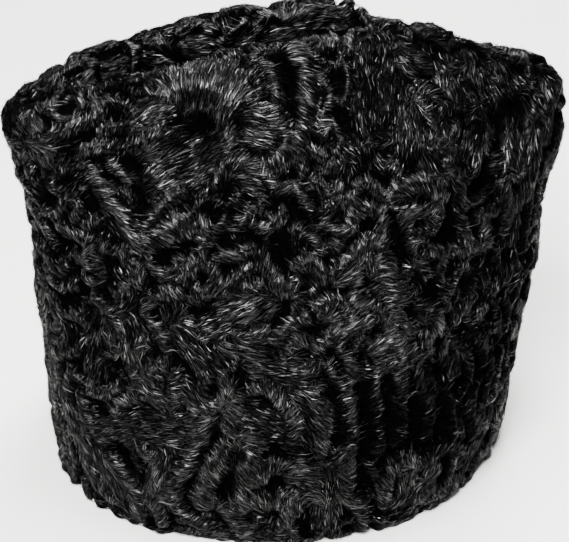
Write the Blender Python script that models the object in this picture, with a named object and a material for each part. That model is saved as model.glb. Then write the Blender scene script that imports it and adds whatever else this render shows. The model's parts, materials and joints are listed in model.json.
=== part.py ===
"""A tall, soft, boat-shaped cap of black karakul pelt, standing on its opening.

Two wall panels rise from an oval rim, lean in to two arched ridges and meet in a rounded nose at
each tip. Each panel is rolled over its ridge, and the boat-shaped crown is folded in between them.
X runs from tip to tip, -Y is the near side and +Z is up. The origin is midway between
the tips, on the surface that the cap stands on. Sizes are in metres.
"""
import math
from collections import namedtuple

import bmesh
import bpy
import numpy as np
from mathutils import Vector, noise

# Thickness of the padded pelt in the wall and of the bare pelt in the fold, and the seams' gap
WALL = 0.0040
FOLD_WALL = 0.0028
SEAM_GAP = 0.0003

# Mesh columns from tip to tip, and the steps that each ring's outline is measured in
COLUMNS = 52
OUTLINE_STEPS = 360
WELD_DISTANCE = 0.000001
SHARP_ANGLE = math.radians(50)

# Which side of the middle plane a half of the cap lies on
NEAR = -1
FAR = 1

# Height of the two ridges above the rim, from the left tip to the right one
Ridge = namedtuple("Ridge", "x near far")
RIDGES = (
    Ridge(-0.121, 0.1620, 0.1620),
    Ridge(-0.105, 0.1672, 0.1675),
    Ridge(-0.083, 0.1755, 0.1785),
    Ridge(-0.051, 0.1830, 0.1875),
    Ridge(-0.017, 0.1890, 0.1932),
    Ridge(0.010, 0.1925, 0.1968),
    Ridge(0.027, 0.1955, 0.1955),
    Ridge(0.039, 0.1980, 0.1890),
    Ridge(0.053, 0.1970, 0.1835),
    Ridge(0.075, 0.1850, 0.1765),
    Ridge(0.092, 0.1795, 0.1740),
    Ridge(0.108, 0.1710, 0.1700),
    Ridge(0.121, 0.1620, 0.1620),
)
# Off the middle plane by this much, a point takes its own side's ridge height
RIDGE_BLEND = 0.0130

# Rings of the wall, from the rim up to the ridge. height is a share of the ridge's height; left,
# right, near and far are the ring's reach from the middle; a side's fullness is 1 for an ellipse,
# less for straighter sides with a blunter end and more for a sharper one.
Ring = namedtuple("Ring", "height left right near far full_left full_right")
WALL_RINGS = (
    Ring(0.000, 0.1012, 0.0950, 0.0862, 0.0860, 0.74, 0.98),
    Ring(0.020, 0.1030, 0.0970, 0.0887, 0.0885, 0.74, 0.98),
    Ring(0.090, 0.1034, 0.0992, 0.0887, 0.0885, 0.75, 0.98),
    Ring(0.170, 0.1040, 0.1006, 0.0877, 0.0880, 0.76, 0.97),
    Ring(0.250, 0.1054, 0.1018, 0.0855, 0.0865, 0.77, 0.95),
    Ring(0.330, 0.1064, 0.1028, 0.0825, 0.0840, 0.78, 0.92),
    Ring(0.410, 0.1063, 0.1042, 0.0785, 0.0805, 0.78, 0.88),
    Ring(0.490, 0.1061, 0.1058, 0.0735, 0.0760, 0.77, 0.84),
    Ring(0.570, 0.1063, 0.1072, 0.0680, 0.0705, 0.74, 0.79),
    Ring(0.650, 0.1072, 0.1088, 0.0615, 0.0640, 0.70, 0.74),
    Ring(0.720, 0.1084, 0.1106, 0.0555, 0.0575, 0.66, 0.69),
    Ring(0.780, 0.1092, 0.1126, 0.0495, 0.0510, 0.63, 0.65),
    Ring(0.835, 0.1120, 0.1140, 0.0435, 0.0445, 0.60, 0.61),
    Ring(0.885, 0.1150, 0.1148, 0.0370, 0.0380, 0.57, 0.57),
    Ring(0.925, 0.1169, 0.1154, 0.0314, 0.0322, 0.55, 0.55),
    Ring(0.960, 0.1166, 0.1150, 0.0262, 0.0266, 0.53, 0.53),
    Ring(0.985, 0.1140, 0.1125, 0.0218, 0.0220, 0.51, 0.51),
    Ring(1.000, 0.1065, 0.1060, 0.0160, 0.0160, 0.50, 0.50),
)
# Rings of the fold between the ridges: their depth below the ridge in the middle and at the tips
Fold = namedtuple("Fold", "drop end_drop left right half_width full_left full_right")
ROLL_RINGS = (
    Fold(0.0015, 0.0003, 0.1000, 0.0995, 0.0112, 0.52, 0.52),
    Fold(0.0070, 0.0014, 0.0940, 0.0935, 0.0086, 0.55, 0.55),
    Fold(0.0150, 0.0040, 0.0880, 0.0880, 0.0076, 0.58, 0.58),
)
CROWN_RINGS = (
    Fold(0.0240, 0.0085, 0.0840, 0.0835, 0.0064, 0.62, 0.62),
    Fold(0.0330, 0.0140, 0.0800, 0.0790, 0.0046, 0.66, 0.66),
    Fold(0.0385, 0.0190, 0.0765, 0.0750, 0.0024, 0.72, 0.72),
    Fold(0.0400, 0.0225, 0.0740, 0.0725, 0.0000, 1.00, 1.00),
)
# The fold is at full depth along most of its length and rises towards its two ends
FOLD_END_POWER = 2.6

# The padding ends this many rings short of the ridge
ROLL_THINNING = 3

# The ridges draw together towards the right tip, from this share of the height up
PINCH_START_X = 0.015
PINCH_END_X = 0.080
PINCH_WIDTH = 0.76
PINCH_FROM_HEIGHT = 0.78

# Dents in the near wall, negative where the pelt swells: centre, reach each way and depth
Dent = namedtuple("Dent", "x z reach_x reach_z depth")
DENTS = (
    Dent(-0.045, 0.1610, 0.0105, 0.0125, 0.0060),
    Dent(-0.036, 0.1775, 0.0120, 0.0070, -0.0012),
    Dent(-0.105, 0.1480, 0.0230, 0.0052, 0.0034),
    Dent(0.031, 0.1600, 0.0085, 0.0300, 0.0024),
    Dent(0.073, 0.0500, 0.0200, 0.0120, 0.0016),
)
# The near wall's dents run out over this distance past the tips' seams
DENT_WRAP = 0.0120

# Lumps that thick curls make all over the pelt: spacing and height
Lump = namedtuple("Lump", "spacing height")
LUMPS = (Lump(0.034, 0.0020), Lump(0.015, 0.0010))
LUMP_FADE_HEIGHT = 0.004
RIM_LUMPS = 0.35

PELT_COLOUR = (0.0130, 0.0125, 0.0130, 1.0)
PELT_ROUGHNESS = 0.55


def smooth_step(value, start, end):
    share = min(max((value - start) / (end - start), 0.0), 1.0)
    return share * share * (3.0 - 2.0 * share)


def ridge_height(x, y):
    """Height of the ridge line above x, between the near and the far ridge's by y."""
    xs = [row.x for row in RIDGES]
    near = float(np.interp(x, xs, [row.near for row in RIDGES]))
    far = float(np.interp(x, xs, [row.far for row in RIDGES]))
    side = min(max(y / RIDGE_BLEND, -1.0), 1.0)
    return 0.5 * (near + far) + 0.5 * side * (far - near)


def pinch(x, height):
    """Share of the ring's width that is left where the ridges draw together."""
    amount = smooth_step(height, PINCH_FROM_HEIGHT, 1.0)
    amount *= smooth_step(x, PINCH_START_X, PINCH_END_X)
    return 1.0 - amount * (1.0 - PINCH_WIDTH)


def ring_outline(ring, reach, height, side):
    """Plan of one ring from the left tip to the right tip, in columns of equal length."""
    fine = [(-ring.left, 0.0)]
    for step in range(1, OUTLINE_STEPS):
        angle = math.pi * (step / OUTLINE_STEPS - 0.5)
        end, fullness = (ring.left, ring.full_left) if angle < 0 else (ring.right, ring.full_right)
        x = end * math.sin(angle)
        fine.append((x, side * reach * math.cos(angle) ** fullness * pinch(x, height)))
    fine.append((ring.right, 0.0))
    fine = np.array(fine)
    walked = np.concatenate(([0.0], np.cumsum(np.hypot(*np.diff(fine, axis=0).T))))
    wanted = np.linspace(0.0, walked[-1], COLUMNS + 1)
    return np.column_stack([np.interp(wanted, walked, fine[:, axis]) for axis in (0, 1)])


def half_surface(side):
    """Outer points of one half of the cap, ring by ring from the rim to the fold's bottom."""
    rows = []
    for ring in WALL_RINGS:
        reach = ring.near if side == NEAR else ring.far
        plan = ring_outline(ring, reach, ring.height, side)
        rows.append([(x, y, ring.height * ridge_height(x, y)) for x, y in plan])
    for fold in ROLL_RINGS + CROWN_RINGS:
        plan = ring_outline(fold, fold.half_width, 1.0, side)
        row = []
        for x, y in plan:
            reach = fold.left if x < 0.0 else fold.right
            deep = 1.0 - min(abs(x) / reach, 1.0) ** FOLD_END_POWER
            depth = fold.end_drop + (fold.drop - fold.end_drop) * deep
            row.append((x, y, ridge_height(x, y) - depth))
        rows.append(row)
    return np.array(rows)


def surface_normals(points, side):
    """Outward directions of one half: along its columns crossed with up its rings."""
    along = np.gradient(points, axis=1)
    up = np.gradient(points, axis=0)
    normals = -side * np.cross(along, up)
    # The fold's bottom line has no width at its two ends, so they lean as the ring above does
    for end in (0, -1):
        normals[-1, end] = normals[-2, end]
    return normals / np.linalg.norm(normals, axis=2, keepdims=True)


def matched_normals(near, far):
    """Normals of both halves, equal where the halves meet and level round the rim."""
    halves = [surface_normals(near, NEAR), surface_normals(far, FAR)]
    for normals in halves:
        normals[0, :, 2] = 0.0
    left_tip = (slice(None), 0)
    right_tip = (slice(None), -1)
    fold_bottom = (-1, slice(None))
    for place in (left_tip, right_tip, fold_bottom):
        shared = halves[0][place] + halves[1][place]
        shared[:, 1] = 0.0
        halves[0][place] = shared
        halves[1][place] = shared
    return [normals / np.linalg.norm(normals, axis=2, keepdims=True) for normals in halves]


def lump_height(x, y, z):
    """How far the curls' lumps lift a point off the even surface."""
    place = Vector((x, y, z))
    lift = sum(lump.height * noise.noise(place / lump.spacing) for lump in LUMPS)
    return lift * (RIM_LUMPS + (1.0 - RIM_LUMPS) * smooth_step(z, 0.0, LUMP_FADE_HEIGHT))


def dent_depth(x, y, z):
    """How far the near wall's dents sink a point of the wall."""
    depth = 0.0
    for dent in DENTS:
        off = ((x - dent.x) / dent.reach_x) ** 2 + ((z - dent.z) / dent.reach_z) ** 2
        depth += dent.depth * math.exp(-off)
    return depth * smooth_step(-y, -DENT_WRAP, 0.0)


def shaped_halves():
    """Outer points and normals of both halves, with their lumps and dents."""
    halves = [half_surface(NEAR), half_surface(FAR)]
    normals = matched_normals(*halves)
    for points, outward in zip(halves, normals):
        for row in range(points.shape[0]):
            for column in range(points.shape[1]):
                lift = lump_height(*points[row, column])
                if row < len(WALL_RINGS):
                    lift -= dent_depth(*points[row, column])
                points[row, column] += outward[row, column] * lift
    return halves, matched_normals(*halves)


def crown_edge(points, normals, side):
    """The crown's edge beside a panel's seam: the seam's points, one gap further down the fold."""
    seam = len(WALL_RINGS) + len(ROLL_RINGS) - 1
    along = np.gradient(points[seam], axis=0)
    onward = -side * np.cross(normals[seam], along)
    onward[[0, -1], 1] = 0.0
    onward /= np.linalg.norm(onward, axis=1, keepdims=True)
    return points[seam] + SEAM_GAP * onward, normals[seam]


def grid_faces(mesh, grid, flip):
    """Quads over a grid of vertices."""
    for row, above in zip(grid, grid[1:]):
        for column in range(len(row) - 1):
            corners = [row[column], row[column + 1], above[column + 1], above[column]]
            mesh.faces.new(reversed(corners) if flip else corners)


def edge_faces(mesh, outer, inner, flip):
    """Quads through the pelt's thickness along one edge."""
    for column in range(len(outer) - 1):
        corners = [outer[column + 1], outer[column], inner[column], inner[column + 1]]
        mesh.faces.new(reversed(corners) if flip else corners)


def add_object(name, mesh, material):
    bmesh.ops.triangulate(mesh, faces=mesh.faces)
    data = bpy.data.meshes.new(name)
    mesh.to_mesh(data)
    mesh.free()
    data.materials.append(material)
    data.shade_smooth()
    data.set_sharp_from_angle(angle=SHARP_ANGLE)
    bpy.context.scene.collection.objects.link(bpy.data.objects.new(name, data))


def pelt_material(name):
    material = bpy.data.materials.new(name)
    material.use_nodes = True
    shader = material.node_tree.nodes["Principled BSDF"]
    shader.inputs["Base Color"].default_value = PELT_COLOUR
    shader.inputs["Roughness"].default_value = PELT_ROUGHNESS
    shader.inputs["Metallic"].default_value = 0.0
    return material


def wall_panel(name, points, normals, side):
    """One half of the wall, from the rim over the ridge to the crown's seam."""
    rings = len(WALL_RINGS) + len(ROLL_RINGS)
    thickness = np.full((rings, 1, 1), WALL)
    thickness[len(WALL_RINGS) - ROLL_THINNING:] = FOLD_WALL
    outer = points[:rings].copy()
    inner = outer - thickness * normals[:rings]
    for layer in (outer, inner):
        layer[..., 1] = side * np.maximum(side * layer[..., 1], 0.5 * SEAM_GAP)
    mesh = bmesh.new()
    outside = [[mesh.verts.new(point) for point in row] for row in outer]
    inside = [[mesh.verts.new(point) for point in row] for row in inner]
    turned = side == FAR
    grid_faces(mesh, outside, turned)
    grid_faces(mesh, inside, not turned)
    edge_faces(mesh, outside[0], inside[0], turned)
    edge_faces(mesh, outside[-1], inside[-1], not turned)
    for end, flip in ((0, not turned), (-1, turned)):
        edge_faces(mesh, [row[end] for row in outside], [row[end] for row in inside], flip)
    add_object(name, mesh, pelt_material(name + " pelt"))


def crown_fold(name, halves, normals):
    """The boat-shaped crown: both halves of the fold, joined along its bottom line."""
    first = len(WALL_RINGS) + len(ROLL_RINGS)
    near_edge, near_outward = crown_edge(halves[0], normals[0], NEAR)
    far_edge, far_outward = crown_edge(halves[1], normals[1], FAR)
    rows = [near_edge, *halves[0][first:], *halves[1][first:-1][::-1], far_edge]
    outward = [near_outward, *normals[0][first:], *normals[1][first:-1][::-1], far_outward]
    mesh = bmesh.new()
    outside = [[mesh.verts.new(point) for point in row] for row in rows]
    inside = [
        [mesh.verts.new(point - FOLD_WALL * normal) for point, normal in zip(row, directions)]
        for row, directions in zip(rows, outward)
    ]
    grid_faces(mesh, outside, False)
    grid_faces(mesh, inside, True)
    edge_faces(mesh, outside[0], inside[0], False)
    edge_faces(mesh, outside[-1], inside[-1], True)
    bmesh.ops.remove_doubles(mesh, verts=mesh.verts, dist=WELD_DISTANCE)
    add_object(name, mesh, pelt_material(name + " pelt"))


for old in list(bpy.data.objects):
    bpy.data.objects.remove(old, do_unlink=True)

half_points, half_normals = shaped_halves()
wall_panel("near_panel", half_points[0], half_normals[0], NEAR)
wall_panel("far_panel", half_points[1], half_normals[1], FAR)
crown_fold("crown", half_points, half_normals)
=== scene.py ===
"""A tall black karakul cap: curled pelt walls, a folded crown, and the coat of fine hair over them."""

import json
import math

import bmesh
import bpy
import numpy as np
from mathutils import Matrix, Vector, noise
from mathutils.bvhtree import BVHTree
from mathutils.kdtree import KDTree

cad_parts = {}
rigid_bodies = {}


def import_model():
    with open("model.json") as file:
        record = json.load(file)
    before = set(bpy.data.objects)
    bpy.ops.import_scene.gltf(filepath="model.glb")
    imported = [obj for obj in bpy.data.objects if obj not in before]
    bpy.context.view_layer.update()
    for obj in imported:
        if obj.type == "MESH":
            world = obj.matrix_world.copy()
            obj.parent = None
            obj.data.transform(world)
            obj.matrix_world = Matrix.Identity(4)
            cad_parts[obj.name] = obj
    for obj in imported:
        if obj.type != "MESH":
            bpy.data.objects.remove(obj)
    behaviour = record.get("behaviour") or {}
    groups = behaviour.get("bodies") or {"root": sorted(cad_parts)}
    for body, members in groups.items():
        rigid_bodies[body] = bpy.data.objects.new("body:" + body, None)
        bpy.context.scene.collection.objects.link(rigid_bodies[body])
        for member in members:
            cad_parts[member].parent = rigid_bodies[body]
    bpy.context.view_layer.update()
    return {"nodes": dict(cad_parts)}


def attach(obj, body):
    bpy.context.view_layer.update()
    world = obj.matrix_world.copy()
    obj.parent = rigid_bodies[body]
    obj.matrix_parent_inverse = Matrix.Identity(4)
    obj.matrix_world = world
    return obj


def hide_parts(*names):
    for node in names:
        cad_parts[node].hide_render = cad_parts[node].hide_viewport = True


for leftover in list(bpy.data.objects):
    bpy.data.objects.remove(leftover)
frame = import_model()


# Camera
# The cap is seen from the front, a little to its left and from above, with its rim level on a table.
# The view also places each charted curl, because their rows below are in pixels of the photo's frame.
PHOTO_WIDTH, PHOTO_HEIGHT = 569, 542
VIEW_YAW, VIEW_RISE, VIEW_ROLL = math.radians(10.0), math.radians(31.5), math.radians(-1.275)
VIEW_DISTANCE = 0.732
PIXELS_PER_METRE = 2175
RIM_PIXEL = (282.75, 415.0)
SENSOR_WIDTH = 36.0

view_back = np.array([-math.sin(VIEW_YAW) * math.cos(VIEW_RISE), -math.cos(VIEW_YAW) * math.cos(VIEW_RISE),
                      math.sin(VIEW_RISE)])
level_right = np.array([math.cos(VIEW_YAW), -math.sin(VIEW_YAW), 0.0])
level_up = np.cross(view_back, level_right)
view_right = math.cos(VIEW_ROLL) * level_right - math.sin(VIEW_ROLL) * level_up
view_up = math.sin(VIEW_ROLL) * level_right + math.cos(VIEW_ROLL) * level_up
focal_pixels = PIXELS_PER_METRE * VIEW_DISTANCE


def sight_line(x, y):
    """The direction from the camera through a pixel of the photo's frame."""
    across = (x - PHOTO_WIDTH / 2) / focal_pixels
    above = (PHOTO_HEIGHT / 2 - y) / focal_pixels
    return -view_back + across * view_right + above * view_up


view_eye = -VIEW_DISTANCE * sight_line(*RIM_PIXEL)
camera_data = bpy.data.cameras.new("camera")
camera_data.sensor_width = SENSOR_WIDTH
camera_data.lens = focal_pixels * SENSOR_WIDTH / PHOTO_WIDTH
camera = bpy.data.objects.new("camera", camera_data)
bpy.context.scene.collection.objects.link(camera)
turn = np.eye(4)
turn[:3, 0], turn[:3, 1], turn[:3, 2], turn[:3, 3] = view_right, view_up, view_back, view_eye
camera.matrix_world = Matrix(turn)
bpy.context.scene.camera = camera


# Outer side of the pelt
# Each wall panel and the crown is one sheet of lamb pelt with hair on one side only, sewn edge to edge to
# the next. The hair side is found on the CAD solid as all the faces that join the one in its middle
# without passing a cut edge. It is made dense enough there to carry the curls.
SEEDS = {"near_panel": (0.0, -1.0, 0.0), "far_panel": (0.0, 1.0, 0.0), "crown": (0.0, 0.0, 1.0)}
CAP_MIDDLE = Vector((0.0, 0.0, 0.1))
# Faces count as facing a direction from this share on, and an edge sharper than this angle is a cut one.
FACING = 0.6
CUT_EDGE_ANGLE = math.radians(62.0)
# Into how many parts each edge of the solid is cut, and how much of the way from its flat triangles to a
# smooth surface they are rounded.
FACE_DIVISIONS = {"near_panel": 7, "far_panel": 6, "crown": 5}
ROUNDING = 0.75
# The widest gap that counts as a seam, and how far the hair sides pass its middle to close it.
SEAM_REACH = 0.0012
SEAM_OVERLAP = 0.00004


def merged_copy(node):
    """A node's mesh as a bmesh with its loose triangles joined."""
    solid = bmesh.new()
    solid.from_mesh(frame["nodes"][node].data)
    bmesh.ops.remove_doubles(solid, verts=solid.verts, dist=1e-6)
    solid.normal_update()
    solid.faces.index_update()
    return solid


def hair_faces(solid, toward):
    """The faces on the hair side, in their own order, grown from the middle one that faces a direction."""
    toward = Vector(toward)
    facing = [f for f in solid.faces if f.normal.dot(toward) > FACING]
    seed = min(facing, key=lambda f: (f.calc_center_median() - CAP_MIDDLE).cross(toward).length)
    found, edge_of_growth = {seed}, [seed]
    while edge_of_growth:
        face = edge_of_growth.pop()
        for edge in face.edges:
            if edge.calc_face_angle(math.pi) > CUT_EDGE_ANGLE:
                continue
            for other in edge.link_faces:
                if other not in found:
                    found.add(other)
                    edge_of_growth.append(other)
    return sorted(found, key=lambda face: face.index)


def dense_sheet(faces, n):
    """The hair side, each edge cut in n: its points, triangles and normals, and the points of each edge."""
    index = {}
    for face in faces:
        for v in face.verts:
            index.setdefault(v, len(index))
    points = np.array([v.co for v in index])
    triangles = np.array([[index[v] for v in face.verts] for face in faces])
    normals = np.zeros_like(points)
    a, b, c = (points[triangles[:, k]] for k in range(3))
    weighted = np.cross(b - a, c - a)
    for k in range(3):
        np.add.at(normals, triangles[:, k], weighted)
    normals /= np.linalg.norm(normals, axis=1, keepdims=True)

    rows = [(i, j) for i in range(n + 1) for j in range(n + 1 - i)]
    place = {key: k for k, key in enumerate(rows)}
    shares = np.array([[n - i - j, i, j] for i, j in rows]) / n
    small = [[place[i, j], place[i + 1, j], place[i, j + 1]] for i in range(n) for j in range(n - i)]
    small += [[place[i + 1, j], place[i + 1, j + 1], place[i, j + 1]]
              for i in range(n - 1) for j in range(n - 1 - i)]
    small = np.array(small)

    flat = np.einsum("sk,tkc->tsc", shares, points[triangles])
    fine_normals = np.einsum("sk,tkc->tsc", shares, normals[triangles])
    fine_normals /= np.linalg.norm(fine_normals, axis=2, keepdims=True)
    curved = np.zeros_like(flat)
    for k in range(3):
        corner, corner_normal = points[triangles[:, k]][:, None], normals[triangles[:, k]][:, None]
        height = ((flat - corner) * corner_normal).sum(2, keepdims=True)
        curved += shares[None, :, k, None] * (flat - height * corner_normal)
    placed = flat + ROUNDING * (curved - flat)

    # Points that are less than a micrometre apart are one.
    keys = np.round(placed.reshape(-1, 3) * 1e6).astype(np.int64)
    _, first, back = np.unique(keys, axis=0, return_index=True, return_inverse=True)
    back = back.reshape(-1)
    fine = (small[None] + (np.arange(len(triangles)) * len(rows))[:, None, None]).reshape(-1, 3)
    runs = {}
    for number, face in enumerate(faces):
        spots = back[number * len(rows):(number + 1) * len(rows)]
        for a, b, keys in ((0, 1, [(k, 0) for k in range(n + 1)]), (0, 2, [(0, k) for k in range(n + 1)]),
                           (1, 2, [(n - k, k) for k in range(n + 1)])):
            run = [int(spots[place[key]]) for key in keys]
            runs[face.verts[a], face.verts[b]] = run
            runs[face.verts[b], face.verts[a]] = run[::-1]
    return placed.reshape(-1, 3)[first], back[fine], fine_normals.reshape(-1, 3)[first], runs


solids, hair_sides, sheets = {}, {}, {}
for node, toward in SEEDS.items():
    solids[node] = merged_copy(node)
    hair_sides[node] = hair_faces(solids[node], toward)
    sheets[node] = dense_sheet(hair_sides[node], FACE_DIVISIONS[node])


def border_runs(node):
    """The points of each edge where the hair side meets a cut edge."""
    hair_side = set(hair_sides[node])
    return {(a, b): run for (a, b), run in sheets[node][3].items()
            if any(face not in hair_side for face in solids[node].edges.get((a, b)).link_faces)}


def join_seams():
    """Brings the hair sides together at each seam, halfway across its gap and with one normal."""
    borders = {node: sorted({i for run in border_runs(node).values() for i in run}) for node in sheets}
    changes = []
    for node, (points, _, normals, _) in sheets.items():
        across = [(sheets[other][0][i], sheets[other][2][i]) for other in sheets if other != node
                  for i in borders[other]]
        tree = KDTree(len(across))
        for k, (point, _) in enumerate(across):
            tree.insert(point, k)
        tree.balance()
        for i in borders[node]:
            _, k, gap = tree.find(points[i])
            if gap < SEAM_REACH:
                halfway = 0.5 + SEAM_OVERLAP / max(gap, SEAM_OVERLAP)
                normal = normals[i] + across[k][1]
                changes.append((node, i, points[i] + halfway * (across[k][0] - points[i]),
                                normal / np.linalg.norm(normal)))
    for node, i, point, normal in changes:
        sheets[node][0][i] = point
        sheets[node][2][i] = normal


join_seams()


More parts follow.
